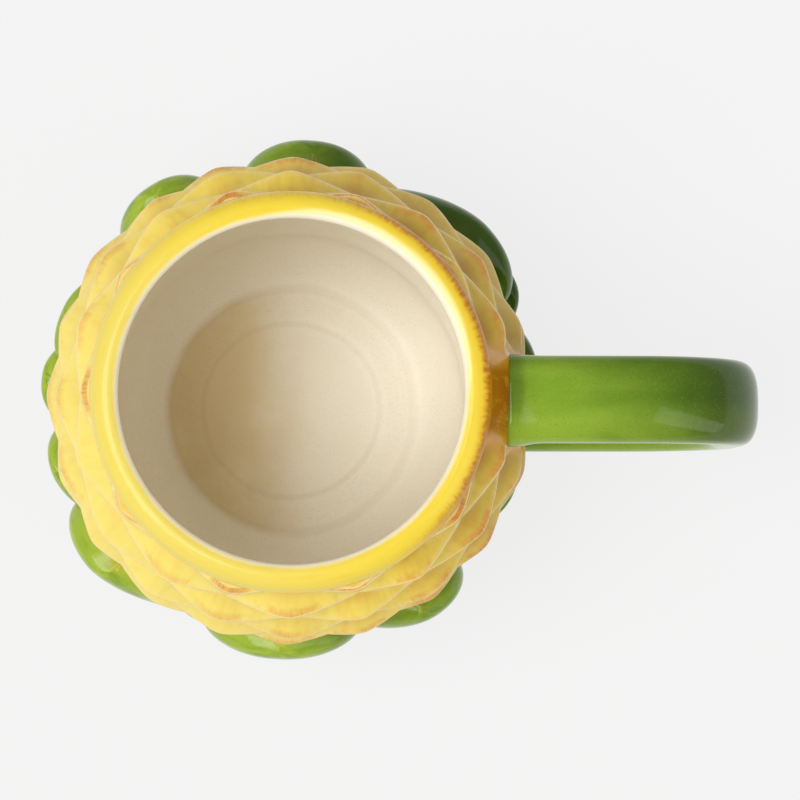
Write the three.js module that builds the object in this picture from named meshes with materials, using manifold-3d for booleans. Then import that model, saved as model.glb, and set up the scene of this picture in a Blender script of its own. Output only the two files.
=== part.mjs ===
import * as THREE from 'three';
import { mergeVertices } from 'three/addons/utils/BufferGeometryUtils.js';
import Module from 'manifold-3d';

// Pineapple mug, in millimetres. The origin is the centre of the flat foot, +Z is up,
// and the handle points along +X. Angles go counter-clockwise from the handle.

const wasm = await Module();
wasm.setup();

// Cup
const HEIGHT = 105;
const LIP_RADIUS = 35;
const LIP_ROUNDING = 2;
const RIM_RADIUS = 40.9;
const RIM_DROP = 5;
const BELLY_RADIUS = 52.3;
const BELLY_HEIGHT = 59;
const SHOULDER_RADIUS = 42.6;
const SHOULDER_POWER = 2;
const FOOT_RADIUS = 34;
const FOOT_POWER = 2;
const FOOT_ROUNDING = 1.6;
const WALL = 4.2;
const FLOOR_THICKNESS = 12;
const FLOOR_RADIUS = 26;
const FLOOR_CORNER_HEIGHT = 13;
const FLOOR_DISH_RADIUS = 20;
const FLOOR_DISH_DEPTH = 0.5;

// Diamond scales pressed into the cup, each a low hollow-sided pyramid, in staggered rows
const SCALES_AROUND = 10;
const SCALE_ROWS = 8;
const FADED_ROWS = 2;
const SCALE_PITCH = 8;
const SCALE_RELIEF = 3;
const SCALE_HOLLOW = 1.25;
const TOP_ROW_DROP = 6.5;

// Handle, a strap bent into a loop
const HANDLE_PROJECTION = 47.7;
const HANDLE_TOP_DROP = 15;
const HANDLE_BOTTOM = 21.5;
const HANDLE_CORNER = 28;
const HANDLE_WIDTH = 18.2;
const HANDLE_THICKNESS = 10.5;
const HANDLE_SIDE_OFFSET = -0.8;
const HANDLE_SQUARENESS = 2.8;
const ROOT_FLARE = 0.8;
const ROOT_FLARE_LENGTH = 7;
const PAD_MARGIN = 2;
const PAD_SLOPE = 2;
const PAD_SHARE = 0.6;

// Crown of leaves
const LEAVES_AROUND = 10;
const CROWN_TURN = 14.5;
const LEAF_START_HEIGHT = 3;
const LEAF_BASE_SHARE = 0.7;
const LEAF_WIDEST_SHARE = 0.6;
const LEAF_BULGE_SHARE = 0.85;
const LEAF_SWELL_START = 0.2;
const LEAF_ROUNDNESS = 2.6;
const LEAF_BASE_THINNING = 0.4;
const UPPER_LEAF_TIP_HEIGHT = 54;
const UPPER_LEAF_WIDTH = 29;
const UPPER_LEAF_THICKNESS = 4.2;
const UPPER_LEAF_BULGE = 3.8;
const LOWER_LEAF_TIP_HEIGHT = 34;
const LOWER_LEAF_WIDTH = 26;
const LOWER_LEAF_THICKNESS = 5.6;
const LOWER_LEAF_BULGE = 6.3;
const UNDER_HANDLE_CLEARANCE = 1.5;

// How single leaves differ from their row: turn and lean in degrees, the rest in millimetres.
// A leaf that leans has its tip drawn sideways round the cup, one that goes further bulges
// more, and a skewed one swells most towards one edge, by a share of half its width.
const UPPER_LEAF_CHANGES = [
  { turn: -5, lean: -1, wider: -3, further: -0.5, higher: -4 },
  { turn: 3.4, lean: -8, wider: 17, further: 2.3, higher: 0, skew: 0.32 },
  { turn: 0.4, lean: -2, wider: 2, further: 2, higher: 1 },
  { turn: 0, lean: 1, wider: -3, further: 1.1, higher: 0 },
  { turn: -0.5, lean: 1, wider: 0, further: 0.2, higher: -9 },
  { turn: 3.8, lean: -2, wider: -4, further: 0, higher: -7, skew: 0.2 },
  { turn: 0, lean: -7, wider: 13, further: 1.3, higher: 0, skew: 0.38 },
  { turn: 1.6, lean: -1, wider: 9, further: 0.2, higher: 1 },
  { turn: -1.6, lean: 1, wider: 0, further: 0.6, higher: 0, skew: -0.25 },
  { turn: -1, lean: 2, wider: -2, further: 0.2, higher: -14 },
];
const LOWER_LEAF_CHANGES = [
  { turn: 0, lean: -2, wider: -3, further: 1.2, higher: 8 },
  { turn: 0, lean: 2, wider: 0, further: 0, higher: 0 },
  { turn: 0, lean: -2, wider: -1, further: 0, higher: -1 },
  { turn: 1, lean: 1, wider: 0, further: 0, higher: 1 },
  { turn: -1.6, lean: -1, wider: -3, further: -0.4, higher: 8 },
  { turn: 0, lean: 3, wider: 0, further: 0, higher: -1 },
  { turn: 1, lean: -2, wider: 1, further: 0, higher: 0 },
  { turn: 0, lean: 1, wider: 0, further: 0, higher: 1 },
  { turn: 0, lean: -2, wider: -1, further: 0, higher: 0 },
  { turn: 0, lean: 0, wider: -2, further: -1.8, underHandle: true },
];

// The pieces are joined with slip; each joint is drawn as a thin gap
const JOINT_GAP = 0.3;

// Fineness of the faces
const STEPS_PER_HALF_SCALE = 3;
const WALL_STEP = 8;
const ROUND_STEPS = 4;
const LEAF_RINGS = 9;
const LEAF_OUTER_STEPS = 8;
const LEAF_INNER_STEPS = 8;
const HANDLE_SIDES = 16;
const HANDLE_STRAIGHT_STEPS = 5;
const HANDLE_BEND_STEPS = 7;
const SLIVER_SIZE = 0.02;

const COLUMNS = 2 * SCALES_AROUND * STEPS_PER_HALF_SCALE;
const ROW_STEP = SCALE_PITCH / STEPS_PER_HALF_SCALE;
const TOP_ROW_HEIGHT = HEIGHT - TOP_ROW_DROP;
const LAST_ROW_HEIGHT = TOP_ROW_HEIGHT - (SCALE_ROWS - 1) * SCALE_PITCH;
const PLAIN_TOP_HEIGHT = LAST_ROW_HEIGHT - FADED_ROWS * SCALE_PITCH;
const HANDLE_TOP = HEIGHT - HANDLE_TOP_DROP;
const HANDLE_REACH = BELLY_RADIUS + HANDLE_PROJECTION;

const yellowGlaze = () => new THREE.MeshStandardMaterial({ color: 0xefc93a, roughness: 0.15, metalness: 0 });
const greenGlaze = () => new THREE.MeshStandardMaterial({ color: 0x5f9a1f, roughness: 0.15, metalness: 0 });
const leafGlaze = () => new THREE.MeshStandardMaterial({ color: 0x4c8722, roughness: 0.15, metalness: 0 });

const steps = (count) => Array.from({ length: count + 1 }, (_, i) => i / count);
const smooth = (value, low, high) => THREE.MathUtils.smoothstep(value, low, high);
const radians = THREE.MathUtils.degToRad;

function polar(radius, angle, z) {
  return new THREE.Vector3(radius * Math.cos(angle), radius * Math.sin(angle), z);
}

// A closed skin over rings of points, with each end drawn together at the ring's middle.
// The flips function says which quads are split along their other diagonal.
function skinOver(rings, flips = () => false) {
  const count = rings[0].length;
  const middle = (ring) => ring.reduce((sum, p) => sum.add(p), new THREE.Vector3()).divideScalar(count);
  const points = [middle(rings[0]), ...rings.flat(), middle(rings.at(-1))];
  const at = (ring, i) => 1 + ring * count + (i % count);
  const last = points.length - 1;
  const index = [];
  for (let i = 0; i < count; i++) {
    index.push(0, at(0, i + 1), at(0, i));
    index.push(at(rings.length - 1, i), at(rings.length - 1, i + 1), last);
  }
  for (let ring = 0; ring < rings.length - 1; ring++) {
    for (let i = 0; i < count; i++) {
      const [a, b] = [at(ring, i), at(ring, i + 1)];
      const [c, d] = [at(ring + 1, i + 1), at(ring + 1, i)];
      index.push(...(flips(ring, i) ? [a, b, d, b, c, d] : [a, b, c, a, c, d]));
    }
  }
  const geometry = new THREE.BufferGeometry().setFromPoints(points);
  geometry.setIndex(index);
  return geometry;
}

function toSolid(geometry) {
  const bare = new THREE.BufferGeometry();
  bare.setAttribute('position', geometry.getAttribute('position'));
  bare.setIndex(geometry.getIndex());
  const merged = mergeVertices(bare);
  return new wasm.Manifold(new wasm.Mesh({
    numProp: 3,
    vertProperties: new Float32Array(merged.getAttribute('position').array),
    triVerts: new Uint32Array(merged.getIndex().array),
  }));
}

function toGeometry(solid) {
  const mesh = solid.getMesh();
  const geometry = new THREE.BufferGeometry();
  geometry.setAttribute('position', new THREE.BufferAttribute(new Float32Array(mesh.vertProperties), 3));
  geometry.setIndex(new THREE.BufferAttribute(new Uint32Array(mesh.triVerts), 1));
  return geometry;
}

// What stays of a solid when others are cut from it: its largest body, without crumbs or slivers
function cutBy(solid, others) {
  const rest = others.reduce((left, other) => left.subtract(other), solid);
  const largest = rest.decompose().reduce((best, body) => (body.volume() > best.volume() ? body : best));
  return largest.simplify(SLIVER_SIZE);
}

// Radius over the tips of the scales
function outerRadius(z) {
  if (z > BELLY_HEIGHT) {
    const rise = (z - BELLY_HEIGHT) / (TOP_ROW_HEIGHT - BELLY_HEIGHT);
    return BELLY_RADIUS - (BELLY_RADIUS - SHOULDER_RADIUS) * rise ** SHOULDER_POWER;
  }
  const fall = (BELLY_HEIGHT - z) / BELLY_HEIGHT;
  return BELLY_RADIUS - (BELLY_RADIUS - FOOT_RADIUS) * fall ** FOOT_POWER;
}

const skinRadius = (z) => outerRadius(z) - SCALE_RELIEF;

// Scales fade out below the last row, where the leaves cover the cup
const scaleShare = (z) => smooth(z, PLAIN_TOP_HEIGHT, LAST_ROW_HEIGHT);

// The surface over the tips of the scales, which the leaves sit on, and the lower one of the
// pad, which the handle sits on
const seatRadius = (z) => skinRadius(z) + SCALE_RELIEF * scaleShare(z);
const padRadius = (z) => skinRadius(z) + SCALE_RELIEF * PAD_SHARE * scaleShare(z);

// Where a point lies on its scale, as shares of the way from the tip to the scale's side
// and foot. Both inputs count half scales: round the cup, and down from the top row.
function scalePlace(across, down) {
  const a = (across + down) / 2;
  const b = (across - down) / 2;
  const fromTipA = a - Math.round(a);
  const fromTipB = b - Math.round(b);
  return { side: fromTipA + fromTipB, fall: fromTipA - fromTipB };
}

// Height of a scale at a place: 0 in the grooves between scales and 1 at its tip
function scaleHeight(angle, z) {
  const place = scalePlace(angle / (Math.PI / SCALES_AROUND), (TOP_ROW_HEIGHT - z) / SCALE_PITCH);
  return Math.max(1 - Math.abs(place.side) - Math.abs(place.fall), 0) ** SCALE_HOLLOW;
}

// How fully a place lies on the plain pad under the handle's upper root, which runs up to the rim
function padShare(angle, z) {
  const side = Math.abs(skinRadius(z) * Math.sin(angle) - HANDLE_SIDE_OFFSET);
  const below = HANDLE_TOP - HANDLE_THICKNESS - ROOT_FLARE - PAD_MARGIN - z;
  const edge = HANDLE_WIDTH / 2 + ROOT_FLARE;
  const inFront = Math.cos(angle) > 0 ? 1 : 0;
  return inFront * (1 - smooth(side, edge, edge + PAD_SLOPE)) * (1 - smooth(below, 0, PAD_SLOPE));
}

// Height of the cup's relief, as a share of the scales' height: the pad is plain
function reliefShare(angle, z) {
  return THREE.MathUtils.lerp(scaleHeight(angle, z), PAD_SHARE, padShare(angle, z)) * scaleShare(z);
}

function cupRing(radiusAt, z) {
  return Array.from({ length: COLUMNS }, (_, i) => {
    const angle = (2 * Math.PI * i) / COLUMNS;
    return polar(radiusAt(angle), angle, z);
  });
}

function innerRadius(z) {
  if (z > BELLY_HEIGHT) {
    const rise = (z - BELLY_HEIGHT) / (HEIGHT - LIP_ROUNDING - BELLY_HEIGHT);
    const belly = skinRadius(BELLY_HEIGHT) - WALL;
    return belly - (belly - LIP_RADIUS) * rise ** SHOULDER_POWER;
  }
  return skinRadius(z) - WALL;
}

function mugBody() {
  const footEdge = skinRadius(FOOT_ROUNDING);
  const rimCrest = LIP_RADIUS + LIP_ROUNDING;
  const footTurns = steps(ROUND_STEPS).map((t) => {
    const turn = (t * Math.PI) / 2;
    const radius = footEdge - FOOT_ROUNDING * (1 - Math.sin(turn));
    return cupRing(() => radius, FOOT_ROUNDING * (1 - Math.cos(turn)));
  });

  const plainCount = Math.ceil((PLAIN_TOP_HEIGHT - FOOT_ROUNDING) / WALL_STEP);
  const plainRings = steps(plainCount).slice(1, -1).map((t) => {
    const z = FOOT_ROUNDING + t * (PLAIN_TOP_HEIGHT - FOOT_ROUNDING);
    return cupRing(() => skinRadius(z), z);
  });

  const scaleCount = (SCALE_ROWS - 1 + FADED_ROWS) * STEPS_PER_HALF_SCALE;
  const scaleRings = Array.from({ length: scaleCount + 1 }, (_, k) => {
    const z = PLAIN_TOP_HEIGHT + k * ROW_STEP;
    return cupRing((angle) => skinRadius(z) + SCALE_RELIEF * reliefShare(angle, z), z);
  });

  const rimTurns = steps(2 * ROUND_STEPS).map((t) => {
    const turn = t * Math.PI;
    const outside = turn <= Math.PI / 2;
    const spread = outside ? RIM_RADIUS - rimCrest : LIP_ROUNDING;
    const drop = outside ? RIM_DROP : LIP_ROUNDING;
    return cupRing(() => rimCrest + spread * Math.cos(turn), HEIGHT - drop * (1 - Math.sin(turn)));
  });

  const innerTop = HEIGHT - LIP_ROUNDING;
  const innerBottom = FLOOR_THICKNESS + FLOOR_CORNER_HEIGHT;
  const innerCount = Math.ceil((innerTop - innerBottom) / WALL_STEP);
  const innerRings = steps(innerCount).slice(1).map((t) => {
    const z = innerTop + t * (innerBottom - innerTop);
    return cupRing(() => innerRadius(z), z);
  });
  const cornerRings = steps(ROUND_STEPS).slice(1).map((t) => {
    const turn = (t * Math.PI) / 2;
    const radius = FLOOR_RADIUS + (innerRadius(innerBottom) - FLOOR_RADIUS) * Math.cos(turn);
    return cupRing(() => radius, innerBottom - FLOOR_CORNER_HEIGHT * Math.sin(turn));
  });
  const dishRing = cupRing(() => FLOOR_DISH_RADIUS, FLOOR_THICKNESS - FLOOR_DISH_DEPTH);

  const rings = [
    ...footTurns, ...plainRings, ...scaleRings, ...rimTurns, ...innerRings, ...cornerRings, dishRing,
  ];
  const firstScaleRing = footTurns.length + plainRings.length;
  // Quads are split in line with the groove beside their quarter of the scale
  const alongGroove = (ring, column) => {
    const row = scaleCount - (ring - firstScaleRing);
    const place = scalePlace((column + 0.5) / STEPS_PER_HALF_SCALE, (row - 0.5) / STEPS_PER_HALF_SCALE);
    return place.side * place.fall < 0;
  };
  return skinOver(rings, alongGroove);
}

// The handle's centre line: places in the XZ plane with the loop's outward direction,
// from inside the cup's upper wall, out, down and back into its lower wall
function handleLine() {
  const bend = HANDLE_CORNER - HANDLE_THICKNESS / 2;
  const bendX = HANDLE_REACH - HANDLE_CORNER;
  const upperZ = HANDLE_TOP - HANDLE_CORNER;
  const lowerZ = HANDLE_BOTTOM + HANDLE_CORNER;
  const upperStart = padRadius(HANDLE_TOP) - WALL;
  const lowerEnd = skinRadius(HANDLE_BOTTOM) - WALL;
  const places = [];
  for (const t of steps(HANDLE_STRAIGHT_STEPS).slice(0, -1)) {
    places.push({ x: THREE.MathUtils.lerp(upperStart, bendX, t), z: upperZ + bend, out: Math.PI / 2 });
  }
  for (const t of steps(HANDLE_BEND_STEPS)) {
    const out = (1 - t) * (Math.PI / 2);
    places.push({ x: bendX + bend * Math.cos(out), z: upperZ + bend * Math.sin(out), out });
  }
  for (const t of steps(HANDLE_BEND_STEPS)) {
    const out = -t * (Math.PI / 2);
    places.push({ x: bendX + bend * Math.cos(out), z: lowerZ + bend * Math.sin(out), out });
  }
  for (const t of steps(HANDLE_STRAIGHT_STEPS).slice(1)) {
    places.push({ x: THREE.MathUtils.lerp(bendX, lowerEnd, t), z: lowerZ - bend, out: -Math.PI / 2 });
  }
  return places;
}

function handleBar(grow = 0) {
  const rings = handleLine().map(({ x, z, out }) => {
    const clear = x - padRadius(z);
    const flare = ROOT_FLARE * (1 - smooth(clear, 0, ROOT_FLARE_LENGTH));
    const halfWidth = HANDLE_WIDTH / 2 + flare + grow;
    const halfThickness = HANDLE_THICKNESS / 2 + flare + grow;
    return Array.from({ length: HANDLE_SIDES }, (_, i) => {
      const turn = (2 * Math.PI * i) / HANDLE_SIDES;
      const rounded = (value) => Math.sign(value) * Math.abs(value) ** (2 / HANDLE_SQUARENESS);
      const across = halfWidth * rounded(Math.cos(turn));
      const outward = halfThickness * rounded(Math.sin(turn));
      return new THREE.Vector3(
        x + outward * Math.cos(out),
        HANDLE_SIDE_OFFSET + across,
        z + outward * Math.sin(out),
      );
    });
  });
  return toSolid(skinOver(rings));
}

// The space of the cup's wall and its joint, which the handle's ends are cut back from
function padSolid() {
  const count = Math.ceil(HEIGHT / (WALL_STEP / 2));
  const rings = steps(count).map((t) => {
    const z = t * HEIGHT;
    return cupRing(() => padRadius(z) + JOINT_GAP, z);
  });
  return toSolid(skinOver(rings));
}

// How far a leaf's round tip has closed at a share of its length: 1 is full, 0 is shut
function tipClosing(along) {
  const toTip = Math.max((along - LEAF_WIDEST_SHARE) / (1 - LEAF_WIDEST_SHARE), 0);
  return Math.sqrt(1 - toTip ** LEAF_ROUNDNESS);
}

// Height of a leaf's section at a share of its half width, 1 at its peak. The longer slope of
// a skewed leaf is the flatter one.
function archHeight(across, skew) {
  const fromPeak = across + skew * (1 - across ** 2);
  const roundness = LEAF_ROUNDNESS * (fromPeak * skew > 0 ? 1 - Math.abs(skew) : 1);
  return (1 - Math.abs(fromPeak) ** roundness) ** (1 / roundness);
}

// One leaf hugs the cup from its foot and swells to its full bulge near the tip. Its section is
// a plump arch on the cup's surface.
function leafBlade(leaf, grow = 0) {
  const start = LEAF_START_HEIGHT - grow;
  const end = leaf.tipHeight + grow;
  const fullBulge = leaf.bulge / tipClosing(LEAF_BULGE_SHARE) ** 0.5;
  const swell = (fullBulge - leaf.thickness) / smooth(LEAF_BULGE_SHARE, LEAF_SWELL_START, 1);
  const rings = steps(LEAF_RINGS).slice(0, -1).map((t) => {
    const along = Math.sin((t * Math.PI) / 2);
    const z = start + along * (end - start);
    const closing = tipClosing(along);
    const toBase = Math.max(1 - along / LEAF_WIDEST_SHARE, 0) ** 2;
    const halfWidth = (leaf.width / 2) * closing * (1 - (1 - LEAF_BASE_SHARE) * toBase) + grow;
    const fullness = leaf.thickness + swell * smooth(along, LEAF_SWELL_START, 1);
    const thickness = fullness * closing ** 0.5 * (1 - LEAF_BASE_THINNING * toBase);
    const inner = seatRadius(z) + JOINT_GAP - grow;
    const middle = leaf.angle + leaf.lean * along ** 2;
    const place = (across, lift) => polar(inner + lift, middle + (across * halfWidth) / inner, z);
    const outerSide = steps(LEAF_OUTER_STEPS).map((s) => {
      const across = -Math.cos(s * Math.PI);
      return place(across, thickness * archHeight(across, leaf.skew) + 2 * grow);
    });
    // The thin edges of a leaf are shared by both faces, and those of a grown one are upright
    const innerEnds = grow > 0 ? [0] : [1, -1];
    const innerSide = steps(LEAF_INNER_STEPS).slice(...innerEnds).map((s) => place(1 - 2 * s, 0));
    return [...outerSide, ...innerSide];
  });
  return toSolid(skinOver(rings));
}

function crownRow(row) {
  return row.changes.map((change, i) => ({
    name: `${row.name}_${String(i + 1).padStart(2, '0')}`,
    angle: radians(row.turn + (360 / LEAVES_AROUND) * i + change.turn),
    lean: radians(change.lean),
    skew: change.skew ?? 0,
    width: row.width + change.wider,
    thickness: row.thickness,
    bulge: row.bulge + change.further,
    tipHeight: change.underHandle ? HANDLE_BOTTOM - UNDER_HANDLE_CLEARANCE : row.tipHeight + change.higher,
  }));
}

const upperLeaves = crownRow({
  name: 'leaf_upper',
  turn: CROWN_TURN,
  width: UPPER_LEAF_WIDTH,
  thickness: UPPER_LEAF_THICKNESS,
  bulge: UPPER_LEAF_BULGE,
  tipHeight: UPPER_LEAF_TIP_HEIGHT,
  changes: UPPER_LEAF_CHANGES,
});
const lowerLeaves = crownRow({
  name: 'leaf_lower',
  turn: CROWN_TURN + 180 / LEAVES_AROUND,
  width: LOWER_LEAF_WIDTH,
  thickness: LOWER_LEAF_THICKNESS,
  bulge: LOWER_LEAF_BULGE,
  tipHeight: LOWER_LEAF_TIP_HEIGHT,
  changes: LOWER_LEAF_CHANGES,
});

const mug = new THREE.Group();

function addPiece(name, geometry, material) {
  const mesh = new THREE.Mesh(geometry, material);
  mesh.name = name;
  mug.add(mesh);
}

addPiece('mug_body', mugBody(), yellowGlaze());

addPiece('handle', toGeometry(cutBy(handleBar(), [padSolid()])), greenGlaze());
const handleRoom = handleBar(JOINT_GAP);

const upperRooms = upperLeaves.map((leaf) => leafBlade(leaf, JOINT_GAP));
upperLeaves.forEach((leaf, i) => {
  const earlier = upperRooms.slice(0, i);
  addPiece(leaf.name, toGeometry(cutBy(leafBlade(leaf), [handleRoom, ...earlier])), leafGlaze());
});

lowerLeaves.forEach((leaf, i) => {
  const earlier = lowerLeaves.slice(0, i).map((other) => leafBlade(other, JOINT_GAP));
  const rooms = [handleRoom, ...upperRooms, ...earlier];
  addPiece(leaf.name, toGeometry(cutBy(leafBlade(leaf), rooms)), leafGlaze());
});

export default mug;
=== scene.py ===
import math

import bpy
import numpy as np
from mathutils import Matrix, Vector


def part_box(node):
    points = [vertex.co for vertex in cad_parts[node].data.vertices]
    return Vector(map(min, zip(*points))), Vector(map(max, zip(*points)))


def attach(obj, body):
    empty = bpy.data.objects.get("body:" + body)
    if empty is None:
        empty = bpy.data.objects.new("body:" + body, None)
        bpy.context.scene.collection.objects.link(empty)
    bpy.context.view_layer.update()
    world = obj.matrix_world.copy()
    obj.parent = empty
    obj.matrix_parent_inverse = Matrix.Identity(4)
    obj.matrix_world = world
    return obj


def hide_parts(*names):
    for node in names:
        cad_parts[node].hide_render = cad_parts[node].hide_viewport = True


# A pineapple mug in glazed earthenware. Shapes are worked out in millimetres in the frame's
# axes and scaled when their mesh is made. Angles go counter-clockwise from the handle.

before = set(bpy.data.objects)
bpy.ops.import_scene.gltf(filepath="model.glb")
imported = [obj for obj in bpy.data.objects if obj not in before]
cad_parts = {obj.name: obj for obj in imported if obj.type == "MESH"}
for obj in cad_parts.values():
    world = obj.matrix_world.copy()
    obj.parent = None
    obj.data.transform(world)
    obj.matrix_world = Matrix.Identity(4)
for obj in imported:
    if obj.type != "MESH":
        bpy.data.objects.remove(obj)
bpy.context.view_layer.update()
MM = 0.001

# Cup
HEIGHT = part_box("mug_body")[1].z / MM
LIP_RADIUS = 35.0
LIP_ROUNDING = 2.0
RIM_RADIUS = 40.9
RIM_DROP = 5.0
BELLY_RADIUS = 52.3
BELLY_HEIGHT = 59.0
SHOULDER_RADIUS = 42.6
SHOULDER_POWER = 2.0
FOOT_RADIUS = 34.0
FOOT_POWER = 2.0
FOOT_ROUNDING = 1.6
FOOT_RINGS = (6, 20, 26)
WALL = 4.2
FLOOR_THICKNESS = 12.0
FLOOR_RADIUS = 26.0
FLOOR_CORNER_HEIGHT = 13.0
FLOOR_DISH_RADIUS = 20.0
FLOOR_DISH_DEPTH = 0.5

# Scales
SCALES_AROUND = 10
SCALE_ROWS = 8
FADED_ROWS = 2
SCALE_PITCH = 8.0
SCALE_RELIEF = 3.0
SCALE_HOLLOW = 1.25
KEEL_ROUNDING = 0.1
RIDGE_ROUNDING = 0.02
WANDER = 0.05
TOP_ROW_DROP = 6.5
TOP_ROW_HEIGHT = HEIGHT - TOP_ROW_DROP
LAST_ROW_HEIGHT = TOP_ROW_HEIGHT - (SCALE_ROWS - 1) * SCALE_PITCH
PLAIN_TOP_HEIGHT = LAST_ROW_HEIGHT - FADED_ROWS * SCALE_PITCH

# Handle
HANDLE_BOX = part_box("handle")
HANDLE_REACH = HANDLE_BOX[1].x / MM
HANDLE_TOP = 90.0
HANDLE_BOTTOM = 21.5
HANDLE_CORNER = 28.0
HANDLE_WIDTH = 18.2
HANDLE_THICKNESS = 10.5
HANDLE_SIDE_OFFSET = -0.8
HANDLE_SQUARENESS = 2.8
ROOT_FLARE = 0.8
ROOT_FLARE_LENGTH = 7.0
PAD_MARGIN = 2.0
PAD_SLOPE = 2.0
PAD_BLEND = 2.5
PAD_SHARE = 0.6

# Crown of leaves
LEAVES_AROUND = 10
CROWN_TURN = 14.5
LEAF_BASE_SHARE = 0.7
LEAF_WIDEST_SHARE = 0.6
LEAF_BULGE_SHARE = 0.85
LEAF_SWELL_START = 0.2
LEAF_ROUNDNESS = 2.6
LEAF_BASE_THINNING = 0.4
LEAF_SINK = 2.6
LEAF_GAP_FILL = 0.15
LEAF_VEIN_DEPTH = 0.35
LEAF_VEIN_WIDTH = 0.1
LEAF_VEIN_END = 0.85
# The rows start at different heights, because end faces in one plane would show black
UPPER_ROW = {"name": "leaf_upper", "turn": CROWN_TURN, "width": 29.0, "thickness": 4.2,
             "bulge": 3.8, "start": 3.5, "tip": 54.0}
LOWER_ROW = {"name": "leaf_lower", "turn": CROWN_TURN + 180 / LEAVES_AROUND, "width": 26.0,
             "thickness": 5.6, "bulge": 6.3, "start": 3.0, "tip": 34.0}
UNDER_HANDLE_TIP = HANDLE_BOTTOM - 1.5
# How single leaves differ: turn and lean in degrees, then width, bulge and tip height, and
# the share of half its width by which a leaf swells most towards one edge
UPPER_CHANGES = [
    (-5, -1, -3, -0.5, -4, 0), (3.4, -8, 17, 2.3, 0, 0.32), (0.4, -2, 2, 2, 1, 0),
    (0, 1, -3, 1.1, 0, 0), (-0.5, 1, 0, 0.2, -9, 0), (3.8, -2, -4, 0, -7, 0.2),
    (0, -7, 13, 1.3, 0, 0.38), (1.6, -1, 9, 0.2, 1, 0), (-1.6, 1, 0, 0.6, 0, -0.25),
    (-1, 2, -2, 0.2, -14, 0),
]
LOWER_CHANGES = [
    (0, -2, -3, 1.2, 8, 0), (0, 2, 0, 0, 0, 0), (0, -2, -1, 0, -1, 0), (1, 1, 0, 0, 1, 0),
    (-1.6, -1, -3, -0.4, 8, 0), (0, 3, 0, 0, -1, 0), (1, -2, 1, 0, 0, 0), (0, 1, 0, 0, 1, 0),
    (0, -2, -1, 0, 0, 0), (0, 0, -2, -1.8, UNDER_HANDLE_TIP - LOWER_ROW["tip"], 0),
]

# Fineness of the meshes
COLUMNS = 600
ROW_STEP = 0.5
COARSE_STEP = 2.0
FLOOR_STEP = 1.5
FOOT_STEPS = 8
ROUND_STEPS = 24
HANDLE_SIDES = 72
HANDLE_STEP = 1.0
LEAF_RINGS = 64
LEAF_OUTER_STEPS = 56
LEAF_INNER_STEPS = 12

# Colours, as they look in plain light, some of them laid on as painted light or painted shade
YELLOW = "#EDD040"
YELLOW_RIM_LIT = "#E6D266"
YELLOW_LIT = "#F3E077"
YELLOW_WARM = "#FACA2C"
YELLOW_SCALE = "#F2D44E"
YELLOW_SHADE = "#DDB032"
GOLD_POOL = "#CC921A"
SHADE_GOLD = "#986C04"
LIP_CREAM = "#F8EFD6"
LIP_PALE_AND_HIGHLIGHT = "#FFEBA6"
RIDGE_CREAM = "#FADF9A"
RIDGE_PEACH = "#E8BC80"
TOUCH_ORANGE = "#D98224"
TOUCH_RED = "#B4602A"
LINE_GOLD = "#D99A14"
LINE_BROWN = "#BE7404"
ROOT_BROWN = "#A85C00"
ROOT_GOLD = "#D09418"
INSIDE = "#FAF3E2"
INSIDE_SHADOW = "#DABE80"
INSIDE_SPECK = "#B8A27A"
BISCUIT = "#E4D8C4"
HANDLE_GREEN = "#7B9E24"
HANDLE_LIGHT = "#A2BC3C"
HANDLE_DARK = "#3B5800"
HANDLE_SHADOW = "#263C02"
LEAF_GREEN = "#82A02C"
LEAF_LIGHT = "#BCCB4A"
LEAF_DARK = "#41620D"
LEAF_SHADOW = "#2C4606"
LEAF_YELLOW = "#E2CF3A"
FLOOR_WHITE = "#F4F4F4"
FLOOR_SHADED = "#E8E8E8"
NOISE_ROUGHNESS = 0.55
GLAZE_IOR = 1.5

# Directions, in degrees, that the painted light, painted shade and painted highlight face, and
# where the brown rim line is strong and faint
LIT_SIDE = 205
SHADED_SIDE = 20
LIP_HIGHLIGHT_SIDE = 48
LINE_SIDE = 14
FAINT_LINE_SIDE = 60
SHADED_LEAF_SIDE = 46
SOFT_SHADED_LEAF_SIDE = -48

# Studio, in metres and watts
WORLD_STRENGTH = 0.44
LAMP_TARGET = (0, 0, 0.07)
KEY_LAMP = {"place": (-0.66, -0.20, 1.54), "target": LAMP_TARGET, "size": (1.0, 1.0), "power": 20.5}
FILL_LAMP = {"place": (1.15, -0.50, 0.85), "target": (0.05, 0, 0.07), "size": (0.6, 2.0),
             "power": 5}
FLOOR_HALF = 3.0
FLOOR_GLOW = 0.88
CAMERA_PLACE = (0.0, -0.034, 0.805)
CAMERA_AIM = (0.0219, -0.0019, 0.105)
CAMERA_LENS = 156.4


def smoothstep(value, low, high):
    """0 at low, 1 at high and smooth between, whichever of the two is larger."""
    t = np.clip((value - low) / (high - low), 0, 1)
    return t * t * (3 - 2 * t)


def linear(colour):
    """A colour written as #RRGGBB, in the linear values that shaders take."""
    parts = [int(colour[i:i + 2], 16) / 255 for i in (1, 3, 5)]
    parts = [p / 12.92 if p <= 0.04045 else ((p + 0.055) / 1.055) ** 2.4 for p in parts]
    return (*parts, 1.0)


# Shape of the cup

def outer_radius(z):
    """Radius over the tips of the scales."""
    rise = np.clip((z - BELLY_HEIGHT) / (TOP_ROW_HEIGHT - BELLY_HEIGHT), 0, None)
    fall = np.clip((BELLY_HEIGHT - z) / BELLY_HEIGHT, 0, None)
    above = (BELLY_RADIUS - SHOULDER_RADIUS) * rise ** SHOULDER_POWER
    return BELLY_RADIUS - above - (BELLY_RADIUS - FOOT_RADIUS) * fall ** FOOT_POWER


def skin_radius(z):
    return outer_radius(z) - SCALE_RELIEF


def scale_share(z):
    return smoothstep(z, PLAIN_TOP_HEIGHT, LAST_ROW_HEIGHT)


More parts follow.
